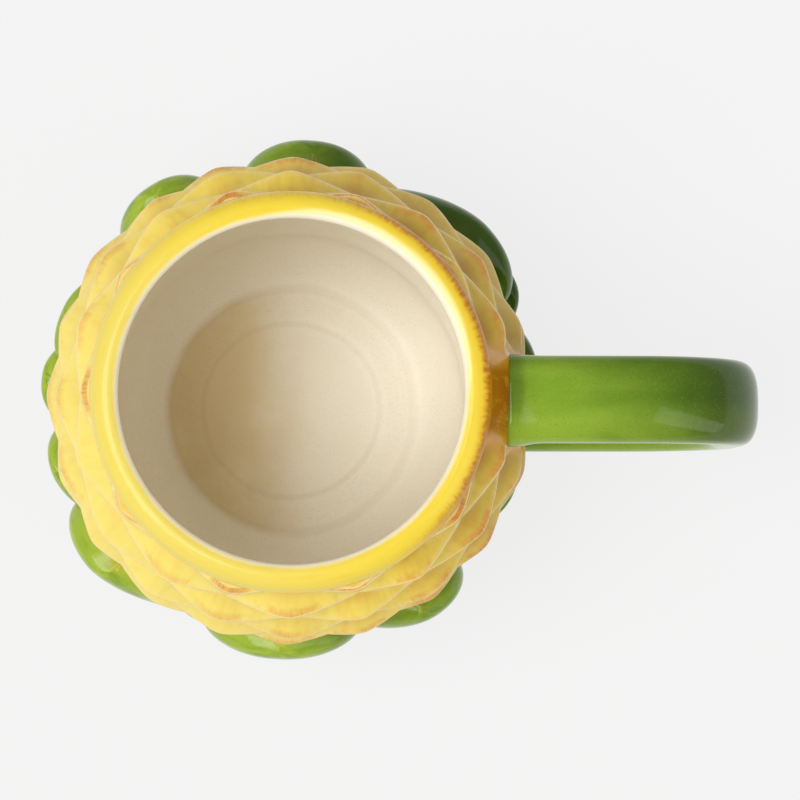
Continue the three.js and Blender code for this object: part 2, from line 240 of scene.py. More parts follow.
def seat_radius(z):
    """The surface over the tips of the scales, which the leaves sit on."""
    return skin_radius(z) + SCALE_RELIEF * scale_share(z)


def pad_radius(z):
    """The surface that the handle sits on."""
    return skin_radius(z) + SCALE_RELIEF * PAD_SHARE * scale_share(z)


def scale_place(angle, z):
    """Where a point lies on its scale: across and down from the tip, each from -1 to 1.

    The rows wander a little, as pressed ones do. The cup's material repeats this sum."""
    across = angle / (math.pi / SCALES_AROUND)
    down = (TOP_ROW_HEIGHT - z) / SCALE_PITCH
    wander_across = WANDER * np.sin(7 * angle + 1.3 * down)
    wander_down = WANDER * np.sin(5 * angle + 1.7)
    across, down = across + wander_across, down + wander_down
    a, b = (across + down) / 2, (across - down) / 2
    a, b = a - np.round(a), b - np.round(b)
    return a + b, a - b


def softened(value, radius):
    """The size of a value from -1 to 1, with the corner at 0 rounded."""
    return (np.sqrt(value ** 2 + radius ** 2) - radius) / (math.sqrt(1 + radius ** 2) - radius)


def scale_height(angle, z):
    """A hollow-sided pyramid on a diamond, 0 in the grooves and 1 at its tip.

    The ridge across it is crisp, and the one down it is soft."""
    side, fall = scale_place(angle, z)
    left = np.clip(1 - softened(side, KEEL_ROUNDING) - softened(fall, RIDGE_ROUNDING), 0, 1)
    return left ** SCALE_HOLLOW


def pad_share(angle, z):
    """How fully a place lies on the plain pad under the handle's upper root.

    The pad runs up to the rim."""
    side = np.abs(skin_radius(z) * np.sin(angle) - HANDLE_SIDE_OFFSET)
    below = HANDLE_TOP - HANDLE_THICKNESS - ROOT_FLARE - PAD_MARGIN - z
    edge = HANDLE_WIDTH / 2 + ROOT_FLARE
    in_front = np.where(np.cos(angle) > 0, 1, 0)
    inside = 1 - smoothstep(side, edge - PAD_BLEND, edge + PAD_BLEND)
    return in_front * inside * (1 - smoothstep(below, 0, PAD_SLOPE))


def inner_radius(z):
    top = HEIGHT - LIP_ROUNDING
    rise = np.clip((z - BELLY_HEIGHT) / (top - BELLY_HEIGHT), 0, None)
    belly = skin_radius(BELLY_HEIGHT) - WALL
    upper = belly - (belly - LIP_RADIUS) * rise ** SHOULDER_POWER
    return np.where(z > BELLY_HEIGHT, upper, skin_radius(z) - WALL)


def hand_wobble(angle, z):
    """Slight unevenness of a cast and hand-sponged wall."""
    slow = np.sin(3 * angle + 0.4) * np.sin(z / 17 + 1.1)
    quick = np.sin(11 * angle + z / 9) * np.sin(z / 6.5 + 2.0)
    return 0.10 * slow + 0.05 * quick


def ring(radius, z):
    """Points around the axis at a height. The radius is a number or a function of the angle."""
    angle = np.arange(COLUMNS) * 2 * math.pi / COLUMNS
    radius = radius(angle) if callable(radius) else np.full(COLUMNS, float(radius))
    height = np.full(COLUMNS, float(z))
    return np.stack([radius * np.cos(angle), radius * np.sin(angle), height], -1)


def levels(start, end, step):
    """Even values from start to end, no further apart than the step."""
    return np.linspace(start, end, max(int(math.ceil(abs(end - start) / step)), 1) + 1)


def cup_rings():
    """Rings from the middle of the foot over the outside and the rim to the middle of the floor."""
    rings = [ring(radius, 0) for radius in FOOT_RINGS]
    foot_edge = float(skin_radius(FOOT_ROUNDING))
    for turn in levels(0, math.pi / 2, math.pi / 2 / FOOT_STEPS):
        radius = foot_edge - FOOT_ROUNDING * (1 - math.sin(turn))
        rings.append(ring(radius, FOOT_ROUNDING * (1 - math.cos(turn))))
    for z in levels(FOOT_ROUNDING, PLAIN_TOP_HEIGHT, COARSE_STEP)[1:-1]:
        rings.append(ring(skin_radius(z), z))
    for z in levels(PLAIN_TOP_HEIGHT, HEIGHT - RIM_DROP - 0.3, ROW_STEP):
        rings.append(ring(lambda angle, z=z: scaled_radius(angle, z), z))
    outside = len(rings)
    crest = LIP_RADIUS + LIP_ROUNDING
    for turn in levels(0, math.pi, math.pi / (2 * ROUND_STEPS)):
        outer = turn <= math.pi / 2
        spread = RIM_RADIUS - crest if outer else LIP_ROUNDING
        drop = RIM_DROP if outer else LIP_ROUNDING
        rings.append(ring(crest + spread * math.cos(turn), HEIGHT - drop * (1 - math.sin(turn))))
    lip = len(rings) - 1
    corner_top = FLOOR_THICKNESS + FLOOR_CORNER_HEIGHT
    for z in levels(HEIGHT - LIP_ROUNDING, corner_top, COARSE_STEP)[1:]:
        rings.append(ring(float(inner_radius(z)), z))
    wall = float(inner_radius(corner_top))
    for turn in levels(0, math.pi / 2, math.pi / 2 / ROUND_STEPS)[1:]:
        radius = FLOOR_RADIUS + (wall - FLOOR_RADIUS) * math.cos(turn)
        rings.append(ring(radius, corner_top - FLOOR_CORNER_HEIGHT * math.sin(turn)))
    for radius in levels(FLOOR_RADIUS, 2, FLOOR_STEP)[1:]:
        sunk = 1 - smoothstep(radius, FLOOR_DISH_RADIUS - 1, FLOOR_DISH_RADIUS + 1.5)
        rings.append(ring(radius, FLOOR_THICKNESS - FLOOR_DISH_DEPTH * sunk))
    return np.array(rings), outside, lip


def scaled_radius(angle, z):
    """Radius of the cup's outside with its scales and the pad."""
    pad = pad_share(angle, z)
    relief = (scale_height(angle, z) * (1 - pad) + PAD_SHARE * pad) * scale_share(z)
    wobble = hand_wobble(angle, z) * (1 - relief) * scale_share(z)
    return skin_radius(z) + SCALE_RELIEF * relief + np.minimum(wobble, 0)


# Meshes

def add_skin(name, rings):
    """A closed mesh over rings of points in millimetres, with its ends drawn together.

    The start's end face is flat shaded, because it meets the sides at a sharp edge."""
    count, sides = rings.shape[:2]
    ends = np.array([rings[0].mean(0), rings[-1].mean(0)])
    points = np.concatenate([rings.reshape(-1, 3), ends]) * MM
    row, side = np.meshgrid(np.arange(count - 1), np.arange(sides), indexing="ij")
    after = (side + 1) % sides
    low, high = row * sides, (row + 1) * sides
    quads = np.stack([low + side, low + after, high + after, high + side], -1).reshape(-1, 4)
    first, last = len(points) - 2, len(points) - 1
    top = (count - 1) * sides
    fans = [(first, (i + 1) % sides, i) for i in range(sides)]
    fans += [(top + i, top + (i + 1) % sides, last) for i in range(sides)]
    mesh = bpy.data.meshes.new(name)
    mesh.from_pydata(points.tolist(), [], quads.tolist() + fans)
    smooth = np.ones(len(mesh.polygons), dtype=bool)
    smooth[len(quads):len(quads) + sides] = False
    mesh.polygons.foreach_set("use_smooth", smooth)
    piece = bpy.data.objects.new(name, mesh)
    bpy.context.scene.collection.objects.link(piece)
    return piece


def add_measure(piece, name, values, ends=(0.0, 0.0)):
    """A number at each point of a skin, which its material reads by name."""
    layer = piece.data.attributes.new(name, "FLOAT", "POINT")
    layer.data.foreach_set("value", np.concatenate([np.ravel(values), ends]).astype(np.float32))


def dress(piece, node):
    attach(piece, "root")
    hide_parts(node)


# Materials

class Value:
    """A number or vector in a material's nodes. Arithmetic on it adds math nodes."""

    def __init__(self, tree, socket):
        self.tree = tree
        self.socket = socket

    def math(self, operation, *others):
        node = self.tree.nodes.new("ShaderNodeMath")
        node.operation = operation
        for target, value in zip(node.inputs, (self, *others)):
            feed(self.tree, target, value)
        return Value(self.tree, node.outputs[0])

    def __add__(self, other):
        return self.math("ADD", other)

    def __sub__(self, other):
        return self.math("SUBTRACT", other)

    def __rsub__(self, other):
        return self * -1.0 + other

    def __mul__(self, other):
        return self.math("MULTIPLY", other)

    __radd__, __rmul__ = __add__, __mul__

    def __abs__(self):
        return self.math("ABSOLUTE")

    def step(self, low, high):
        """0 at low, 1 at high and smooth between, whichever of the two is larger."""
        node = self.tree.nodes.new("ShaderNodeMapRange")
        node.interpolation_type = "SMOOTHSTEP"
        start, end = min(low, high), max(low, high)
        feed(self.tree, node.inputs["Value"], self)
        node.inputs["From Min"].default_value = start
        node.inputs["From Max"].default_value = end
        node.inputs["To Min"].default_value = 0.0 if low < high else 1.0
        node.inputs["To Max"].default_value = 1.0 if low < high else 0.0
        return Value(self.tree, node.outputs["Result"])


def feed(tree, target, value):
    """Links a value to a socket, or writes a plain number on it."""
    if isinstance(value, Value):
        tree.links.new(value.socket, target)
    else:
        target.default_value = value


class Glaze:
    """A glossy glaze over earthenware, painted in layers and raised by a height in millimetres.

    A low gloss keeps the pale floor's mirror image off steep, deeply coloured faces."""

    def __init__(self, name, colour, roughness=0.12, gloss=0.5):
        self.material = bpy.data.materials.new(name)
        self.material.use_nodes = True
        self.tree = self.material.node_tree
        self.shader = self.tree.nodes["Principled BSDF"]
        self.shader.inputs["Roughness"].default_value = roughness
        self.shader.inputs["IOR"].default_value = GLAZE_IOR
        self.shader.inputs["Specular IOR Level"].default_value = gloss
        colour_node = self.tree.nodes.new("ShaderNodeMix")
        colour_node.data_type = "RGBA"
        colour_node.inputs[6].default_value = linear(colour)
        colour_node.inputs[7].default_value = linear(colour)
        self.colour = colour_node.outputs[2]
        where = self.tree.nodes.new("ShaderNodeTexCoord")
        self.place = Value(self.tree, where.outputs["Object"])
        split = self.tree.nodes.new("ShaderNodeSeparateXYZ")
        feed(self.tree, split.inputs[0], self.place)
        self.x, self.y, self.z = (Value(self.tree, split.outputs[i]) * (1 / MM) for i in range(3))

    def from_axis(self):
        return (self.x * self.x + self.y * self.y).math("SQRT")

    def angle(self):
        return self.y.math("ARCTAN2", self.x)

    def measure(self, name):
        """A number that the mesh has at each of its points."""
        node = self.tree.nodes.new("ShaderNodeAttribute")
        node.attribute_name = name
        return Value(self.tree, node.outputs["Fac"])

    def vector(self, x, y, z):
        node = self.tree.nodes.new("ShaderNodeCombineXYZ")
        for target, value in zip(node.inputs, (x, y, z)):
            feed(self.tree, target, value)
        return Value(self.tree, node.outputs[0])

    def noise(self, size, detail=3.0, place=None):
        """Cloudy noise from 0 to 1, with patches of about the given size in millimetres."""
        node = self.tree.nodes.new("ShaderNodeTexNoise")
        node.inputs["Scale"].default_value = 1 / size if place else 1 / (size * MM)
        node.inputs["Detail"].default_value = detail
        node.inputs["Roughness"].default_value = NOISE_ROUGHNESS
        feed(self.tree, node.inputs["Vector"], place or self.place)
        return Value(self.tree, node.outputs["Fac"])

    def chance(self, column, row):
        """A steady random share for each whole column and row."""
        node = self.tree.nodes.new("ShaderNodeTexWhiteNoise")
        node.noise_dimensions = "2D"
        feed(self.tree, node.inputs["Vector"], self.vector(column, row, 0.0))
        return Value(self.tree, node.outputs["Value"])

    def paint(self, colour, amount):
        """Lays a colour over what is painted so far."""
        node = self.tree.nodes.new("ShaderNodeMix")
        node.data_type = "RGBA"
        feed(self.tree, node.inputs[0], amount)
        self.tree.links.new(self.colour, node.inputs[6])
        node.inputs[7].default_value = linear(colour)
        self.colour = node.outputs[2]

    def finish(self, height):
        """Gives the shader its colour and a fine relief, and returns the material."""
        self.tree.links.new(self.colour, self.shader.inputs["Base Color"])
        bump = self.tree.nodes.new("ShaderNodeBump")
        bump.inputs["Distance"].default_value = MM
        bump.inputs["Strength"].default_value = 1.0
        feed(self.tree, bump.inputs["Height"], height)
        self.tree.links.new(bump.outputs[0], self.shader.inputs["Normal"])
        return self.material


def facing(angle, degrees):
    """1 in a direction from the cup's axis, 0 at right angles to it and -1 on the far side."""
    return (angle - math.radians(degrees)).math("COSINE")


def cup_outside():
    """Yellow glaze: plain on the rim, pale along the ridges, touched up in orange and brown.

    Painted light pales its lit side, painted shade deepens its far side, and a painted highlight
    lies along the lip.
    """
    glaze = Glaze("yellow_glaze", YELLOW_SCALE, roughness=0.16, gloss=0.2)
    from_rim = glaze.measure("from_rim")
    radius = glaze.from_axis()
    angle = glaze.angle()
    to_handle = angle.math("COSINE")
    lit_side = facing(angle, LIT_SIDE).step(-0.3, 0.9)
    shaded_side = facing(angle, SHADED_SIDE).step(0.1, 0.9)

    # Where a point lies on its scale, as in scale_place
    across = angle * (SCALES_AROUND / math.pi)
    down = (TOP_ROW_HEIGHT - glaze.z) * (1 / SCALE_PITCH)
    wander_across = (angle * 7.0 + down * 1.3).math("SINE") * WANDER
    wander_down = (angle * 5.0 + 1.7).math("SINE") * WANDER
    across, down = across + wander_across, down + wander_down
    a, b = (across + down) * 0.5, (across - down) * 0.5
    a, b = a - a.math("ROUND"), b - b.math("ROUND")
    side, fall = a + b, a - b
    above = fall * -SCALE_PITCH
    on_scales = from_rim.step(-0.1, 0.6)
    columns = SCALES_AROUND * 2
    scale_number = (across - side + columns).math("FLOORED_MODULO", float(columns))
    row_number = (down - fall).math("ROUND")
    first_row = abs(row_number).step(0.6, 0.4)
    chance = glaze.chance(scale_number.math("ROUND"), row_number)

    cloud = glaze.noise(8, 3)
    bristle = glaze.noise(1.0, 2, glaze.vector(across * 26.0, down * 1.6, 0.0))
    streak = glaze.noise(1.0, 3, glaze.vector(across * 7.0, down * 0.9, 4.0))
    smear = glaze.noise(1.0, 3, glaze.vector(across * 9.0, down * 3.0, 11.0))

    # The brush streaks each scale's face. Painted light makes the lit side a paler lemon yellow
    # with fewer streaks.
    # The glaze pools deep gold at its upper corner, with more of it on the shaded side as painted
    # shade.
    glaze.paint(YELLOW_LIT, on_scales * lit_side * 0.75)
    glaze.paint(YELLOW_SHADE, streak.step(0.36, 0.8) * on_scales * (0.55 - lit_side * 0.35))
    corner = fall.step(-0.1, -0.95) * abs(side).step(0.7, 0.05)
    pool = corner * (cloud + chance * 0.5).step(0.3, 0.95) * (0.8 - lit_side * 0.62)
    glaze.paint(GOLD_POOL, pool * on_scales)
    # Painted shade: deep gold on the side facing away from the light, a little more at each scale's
    # upper corner
    glaze.paint(SHADE_GOLD, shaded_side * on_scales * (0.42 + corner * 0.22))

    glaze.paint(RIDGE_CREAM, abs(above).step(2.2, 0.2) * on_scales * 0.25)

    # Orange is dabbed on above the ridges near the tips, most of it in the row under the rim
    dab = (above + (smear - 0.5) * 1.2 + first_row * 0.6).step(0.0, 0.6)
    dab = dab * (above + (smear - 0.5) * 2.4).step(3.0, 0.8)
    dab = dab * (abs(side) + (smear - 0.5) * 0.8).step(0.5, 0.12)
    dab = dab * (chance + (cloud - 0.5) * 1.2 + first_row * 0.25).step(0.3, 0.7) * on_scales
    glaze.paint(TOUCH_ORANGE, dab * (0.65 + first_row * 0.25 - lit_side * 0.35))
    red = dab * (bristle + smear - 0.5).step(0.42, 0.7)
    glaze.paint(TOUCH_RED, red * (0.4 + first_row * 0.3 - lit_side * 0.25))

    # The glaze runs thin and pale on the ridges
    ridge = (abs(above + (streak - 0.5) * 0.2) + (bristle - 0.5) * 0.12).step(0.4, 0.08)
    ridge = ridge * abs(side).step(1.0, 0.85)
    glaze.paint(RIDGE_CREAM, ridge * on_scales * (0.85 - lit_side * 0.25))
    glaze.paint(RIDGE_PEACH, ridge * on_scales * cloud.step(0.5, 0.65) * 0.35)

    # The rim roll is plain yellow, paler on the lit side as painted light, with a pale band along
    # the lip that widens into a painted highlight on one side, and a cream hairline under it
    on_rim = from_rim.step(0.1, -0.2)
    glaze.paint(YELLOW, on_rim)
    # Painted light: a paler yellow on the lit side of the rim
    glaze.paint(YELLOW_RIM_LIT, on_rim * lit_side * 0.85)
    brushed = glaze.noise(1.0, 3, glaze.vector(across * 1.2, from_rim * 0.9, 7.0))
    glaze.paint(YELLOW_SHADE, brushed.step(0.45, 0.8) * on_rim * 0.2)
    # Painted highlight: the pale band along the lip widens on one side
    highlight_side = facing(angle, LIP_HIGHLIGHT_SIDE).step(0.6, 0.97)
    from_lip = radius + (brushed - 0.5) * 0.8 - highlight_side * 1.5
    pale_and_highlight_band = from_lip.step(LIP_RADIUS + 1.4, LIP_RADIUS + 0.5)
    glaze.paint(LIP_PALE_AND_HIGHLIGHT, pale_and_highlight_band * on_rim * 0.9)
    patchy = glaze.noise(1.0, 2, glaze.vector(across * 1.7, 0.0, 9.0))
    line_share = (facing(angle, LINE_SIDE) + (patchy - 0.5) * 0.5).step(0.3, 0.95)
    hair_wave = glaze.noise(7, 2) - 0.5
    hair = abs(from_rim - 0.35 + hair_wave).step(0.36, 0.12)
    hair = hair * (0.8 - lit_side * 0.3 - line_share * 0.55)
    glaze.paint(RIDGE_CREAM, hair * to_handle.step(0.99, 0.95))

    # A brown line is brushed along the roll's outer edge with the bristles' ends drawn inwards
    inward = (RIM_RADIUS - radius) * on_rim + from_rim.step(-0.2, 0.1) * -1.0
    ticks = glaze.noise(1.0, 3, glaze.vector(across * 13.0, radius * 0.5, 3.0))
    faint_share = (patchy + facing(angle, FAINT_LINE_SIDE) * 0.25).step(0.5, 0.75) * 0.2
    near_edge = glaze.z.step(HEIGHT - RIM_DROP - 0.6, HEIGHT - RIM_DROP + 0.2)
    glaze.paint(YELLOW_WARM, inward.step(3.2, 1.0) * on_rim * line_share * 0.75)
    gold = (inward - (ticks - 0.5) * 2.0).step(2.4, 0.9) * on_rim
    glaze.paint(LINE_GOLD, gold * (line_share * 0.9 + faint_share))
    brown = (inward - (ticks - 0.5) * (patchy * 5.0 + 0.8)).step(1.6, 0.5) * near_edge
    glaze.paint(LINE_BROWN, brown * (line_share * 0.8 + faint_share * ticks.step(0.5, 0.62)))

    # The plain pad between the rim and the handle's root is gold, brushed over with brown
    from_middle = abs(glaze.y - HANDLE_SIDE_OFFSET)
    beside = from_middle - (HANDLE_WIDTH / 2 + ROOT_FLARE) + (cloud - 0.5) * 1.2
    at_root = to_handle.step(0.5, 0.7) * on_scales * glaze.z.step(HANDLE_TOP - 24, HANDLE_TOP - 14)
    glaze.paint(ROOT_GOLD, beside.step(2.4, -1.0) * at_root)
    brushed_brown = (bristle * 0.5 + glaze.noise(3.5, 2)).step(0.35, 0.8)
    brown = (beside + glaze.y * 0.1).step(-1.5, -5.0) * brushed_brown
    glaze.paint(ROOT_BROWN, brown * at_root * 0.95)

    # The lip's inner edge is cream, and it widens on the highlight side as a painted highlight
    from_lip = radius + (streak - 0.5) * 0.2 - highlight_side * 0.6
    cream_edge = from_lip.step(LIP_RADIUS + 0.8, LIP_RADIUS + 0.3)
    glaze.paint(LIP_CREAM, cream_edge * on_rim)

    # The crown's green runs onto the foot
    glaze.paint(LEAF_GREEN, (glaze.z + (cloud - 0.5) * 8.0).step(24.0, 17.0))

    skin = glaze.noise(2.2, 2)
    return glaze.finish((skin - 0.5) * 0.06 + (streak - 0.5) * on_scales * 0.1)


def cup_inside():
    """Cream glaze with a fine speckle, a painted shadow in warm tan on one side that is strongest
    on the floor, and faint rings on the floor.
    """
    glaze = Glaze("cream_glaze", INSIDE, roughness=0.4, gloss=0.35)
    speck = glaze.noise(0.32, 3)
    cloud = glaze.noise(16, 4)
    from_axis = glaze.from_axis() + (cloud - 0.5) * 1.5
    on_floor = from_axis.step(FLOOR_RADIUS + 3.0, FLOOR_RADIUS + 1.0)
    # Painted shadow of the wall on one side of the inside, strongest on the floor
    shadowed_side = (glaze.x + (cloud - 0.5) * 16.0).step(9.0, -17.0)
    glaze.paint(INSIDE_SHADOW, shadowed_side * (on_floor * 0.62 + 0.16))
    glaze.paint(INSIDE_SPECK, speck.step(0.48, 0.78) * 0.26)
    glaze.paint(LIP_CREAM, cloud.step(0.45, 0.75) * 0.25)
    dish_ring = abs(from_axis - FLOOR_DISH_RADIUS).step(1.0, 0.2)
    edge_ring = abs(from_axis - FLOOR_RADIUS - 2.0).step(1.6, 0.4)
    near_floor = glaze.z.step(FLOOR_THICKNESS + 6, FLOOR_THICKNESS + 2)
    glaze.paint(INSIDE_SPECK, (dish_ring + edge_ring) * near_floor * 0.12)
    return glaze.finish((glaze.noise(2.5, 2) - 0.5) * 0.04)


def dry_foot():
    """Bare biscuit where the glaze was wiped off the foot."""
    glaze = Glaze("foot_biscuit", BISCUIT, roughness=0.75)
    glaze.paint(INSIDE_SPECK, glaze.noise(1.5, 4).step(0.5, 0.8) * 0.3)
    return glaze.finish((glaze.noise(0.8, 4) - 0.5) * 0.08)


def handle_glaze():
    """Green glaze with a fine grain, darker at the upper root.

    Painted shade darkens the bend and the +y side, and painted light brightens the -y side.
    """
    glaze = Glaze("handle_glaze", HANDLE_GREEN, gloss=0.35)
    edge = glaze.measure("edge")
    streak = glaze.noise(1.0, 4, glaze.vector(glaze.x * 0.04, glaze.y * 0.16, glaze.z * 0.04))
    cloud = glaze.noise(12, 3)
    glaze.paint(HANDLE_LIGHT, streak.step(0.42, 0.74) * 0.45)
    # Painted light: lighter on the -y side
    glaze.paint(HANDLE_LIGHT, glaze.y.step(-2.0, -6.0) * 0.35)
    glaze.paint(HANDLE_DARK, cloud.step(0.5, 0.75) * 0.25)
    # Painted shade: darker over the bend, deepest at its end
    bend = (glaze.x + (cloud - 0.5) * 8.0).step(48.0, 86.0) * glaze.z.step(55.0, 70.0)
    glaze.paint(HANDLE_DARK, bend * (glaze.y.step(-4.0, 0.0) * 0.25 + 0.65))
    shaded_bend_end = (glaze.x + (cloud - 0.5) * 4.0).step(79.0, 91.0) * glaze.z.step(60.0, 72.0)
    glaze.paint(HANDLE_SHADOW, shaded_bend_end * 0.55)
    upper_root = (glaze.x - cloud * 3.0).step(47.6, 45.4) * glaze.z.step(60.0, 66.0)
    glaze.paint(HANDLE_DARK, upper_root * glaze.y.step(-8.0, 0.0) * 0.45)
    # Painted shade: darker on the +y side
    glaze.paint(HANDLE_DARK, glaze.y.step(3.0, 8.5) * 0.3)
    glaze.paint(HANDLE_LIGHT, edge.step(0.9, 1.0) * 0.3)
    grain = glaze.noise(0.4, 1)
    glaze.paint(HANDLE_DARK, grain.step(0.55, 0.8) * 0.3)
    glaze.paint(HANDLE_LIGHT, grain.step(0.45, 0.2) * 0.15)
    return glaze.finish((glaze.noise(3.0, 2) - 0.5) * 0.04)


def leaf_glaze():
    """Green glaze brushed along each leaf, yellow by the scales and dark in the veins.

    Painted light pales the leaves on the lit side, and painted shade darkens those on the far side,
    most at their tips.
    """
    glaze = Glaze("leaf_glaze", LEAF_GREEN, gloss=0.25)
    along, across, lift = (glaze.measure(name) for name in ("along", "across", "lift"))
    angle = glaze.angle()
    lit_side = facing(angle, LIT_SIDE).step(-0.4, 0.9)
    shaded_leaf_side = facing(angle, SHADED_LEAF_SIDE).step(0.6, 0.96)
    soft_shaded_side = facing(angle, SOFT_SHADED_LEAF_SIDE).step(0.7, 0.95)
    stretched = glaze.vector(across * 2.6, lift * 3.5 + along * 1.5, glaze.x * 0.03)
    streak = glaze.noise(1.0, 4, stretched)
    cloud = glaze.noise(6, 3)
    # Painted light: paler green on the lit side
    glaze.paint(LEAF_LIGHT, lit_side * 0.25)
    glaze.paint(LEAF_LIGHT, streak.step(0.44, 0.7) * 0.4)
    glaze.paint(LEAF_DARK, (streak * 0.6 + cloud * 0.4).step(0.5, 0.32) * 0.5)
    # Painted shade: darker green on the side away from the light, and a little on a second side
    glaze.paint(LEAF_DARK, shaded_leaf_side * 0.85 + soft_shaded_side * 0.25)
    low_edge = (lift + (streak - 0.5) * 0.2).step(0.14, 0.0) * along.step(0.5, 0.8)
    glaze.paint(LEAF_YELLOW, low_edge * (0.12 + lit_side * 0.2))
    # Painted shade: deepest green near the tips on the shaded side
    glaze.paint(LEAF_SHADOW, shaded_leaf_side * along.step(0.86, 0.97) * 0.7)
    glaze.paint(LEAF_DARK, along.step(0.4, 0.0) * 0.45)
    vein = abs(across + (cloud - 0.5) * 0.06).step(0.05, 0.0) * along.step(0.98, 0.7)
    side_veins = abs((abs(across) * 2.2 - along * 5.0).math("FRACT") - 0.5).step(0.07, 0.0)
    glaze.paint(LEAF_DARK, vein * 0.45 + side_veins * lift.step(0.5, 0.8) * 0.18)
    grain = glaze.noise(0.45, 1)
    glaze.paint(LEAF_DARK, grain.step(0.55, 0.8) * 0.2)
    skin = glaze.noise(3.0, 2)
    return glaze.finish((skin - 0.5) * 0.05 + (streak - 0.5) * 0.1 - vein * 0.08)


# Pieces

def make_cup():
    rings, outside, lip = cup_rings()
    cup = add_skin("glazed_cup", rings)
    first = rings[:, 0]
    lengths = np.linalg.norm(np.diff(first, axis=0), axis=1)
    along = np.concatenate([[0], np.cumsum(lengths)])
    from_rim = along[outside] - along
    add_measure(cup, "from_rim", np.repeat(from_rim, COLUMNS), (from_rim[0], from_rim[-1]))
    for material in (cup_outside(), cup_inside(), dry_foot()):
        cup.data.materials.append(material)
    outside_glaze, inside_glaze, bare_foot = range(3)
    index = np.full(len(cup.data.polygons), outside_glaze, dtype=np.int32)
    index[lip * COLUMNS:] = inside_glaze
    index[:(len(FOOT_RINGS) + 1) * COLUMNS] = bare_foot
    index[-2 * COLUMNS:-COLUMNS] = bare_foot
    index[-COLUMNS:] = inside_glaze
    cup.data.polygons.foreach_set("material_index", index)
    dress(cup, "mug_body")


def handle_line():
    """Points of the handle's centre line with the loop's outward direction, from the upper root."""
    bend = HANDLE_CORNER - HANDLE_THICKNESS / 2
    bend_x = HANDLE_REACH - HANDLE_CORNER
    upper = HANDLE_TOP - HANDLE_CORNER
    lower = HANDLE_BOTTOM + HANDLE_CORNER
    inside = WALL * 0.6
    upper_start = float(pad_radius(upper + bend)) - inside
    lower_end = float(skin_radius(lower - bend)) - inside
    line = [(x, upper + bend, math.pi / 2) for x in levels(upper_start, bend_x, HANDLE_STEP)[:-1]]
    for out in levels(math.pi / 2, 0, HANDLE_STEP / bend):
        line.append((bend_x + bend * math.cos(out), upper + bend * math.sin(out), out))
    for z in levels(upper, lower, HANDLE_STEP)[1:-1]:
        line.append((bend_x + bend, z, 0.0))
    for out in levels(0, -math.pi / 2, HANDLE_STEP / bend):
        line.append((bend_x + bend * math.cos(out), lower + bend * math.sin(out), out))
    line += [(x, lower - bend, -math.pi / 2) for x in levels(bend_x, lower_end, HANDLE_STEP)[1:]]
    return line


def squared_off(value):
    """A sine or cosine, changed so that a circle of them becomes a square with round corners."""
    return np.sign(value) * np.abs(value) ** (2 / HANDLE_SQUARENESS)


def make_handle():
    turn = np.arange(HANDLE_SIDES) * 2 * math.pi / HANDLE_SIDES
    wide, thick = squared_off(np.cos(turn)), squared_off(np.sin(turn))
    rings, edges = [], []
    for x, z, out in handle_line():
        clear = x - float(pad_radius(z))
        flare = ROOT_FLARE * (1 - float(smoothstep(clear, -1.0, ROOT_FLARE_LENGTH))) ** 2
        across = (HANDLE_WIDTH / 2 + flare * (0.65 - 0.35 * wide)) * wide
        outward = (HANDLE_THICKNESS / 2 + flare) * thick
        rings.append(np.stack([x + outward * math.cos(out), HANDLE_SIDE_OFFSET + across,
                               z + outward * math.sin(out)], -1))
        edges.append(np.abs(wide))
    handle = add_skin("glazed_handle", np.array(rings))
    add_measure(handle, "edge", np.array(edges))
    handle.data.materials.append(handle_glaze())
    dress(handle, "handle")


def tip_closing(along):
    """How far a leaf's round tip has closed: 1 is full, 0 is shut."""
    to_tip = np.maximum((along - LEAF_WIDEST_SHARE) / (1 - LEAF_WIDEST_SHARE), 0)
    return math.sqrt(max(1 - to_tip ** LEAF_ROUNDNESS, 0))


def arch_height(across, skew):
    """Height of a leaf's section, 1 at its peak.

    A skewed leaf's longer slope is the flatter one."""
    from_peak = across + skew * (1 - across ** 2)
    roundness = LEAF_ROUNDNESS * np.where(from_peak * skew > 0, 1 - abs(skew), 1)
    return (1 - np.minimum(np.abs(from_peak), 1) ** roundness) ** (1 / roundness)


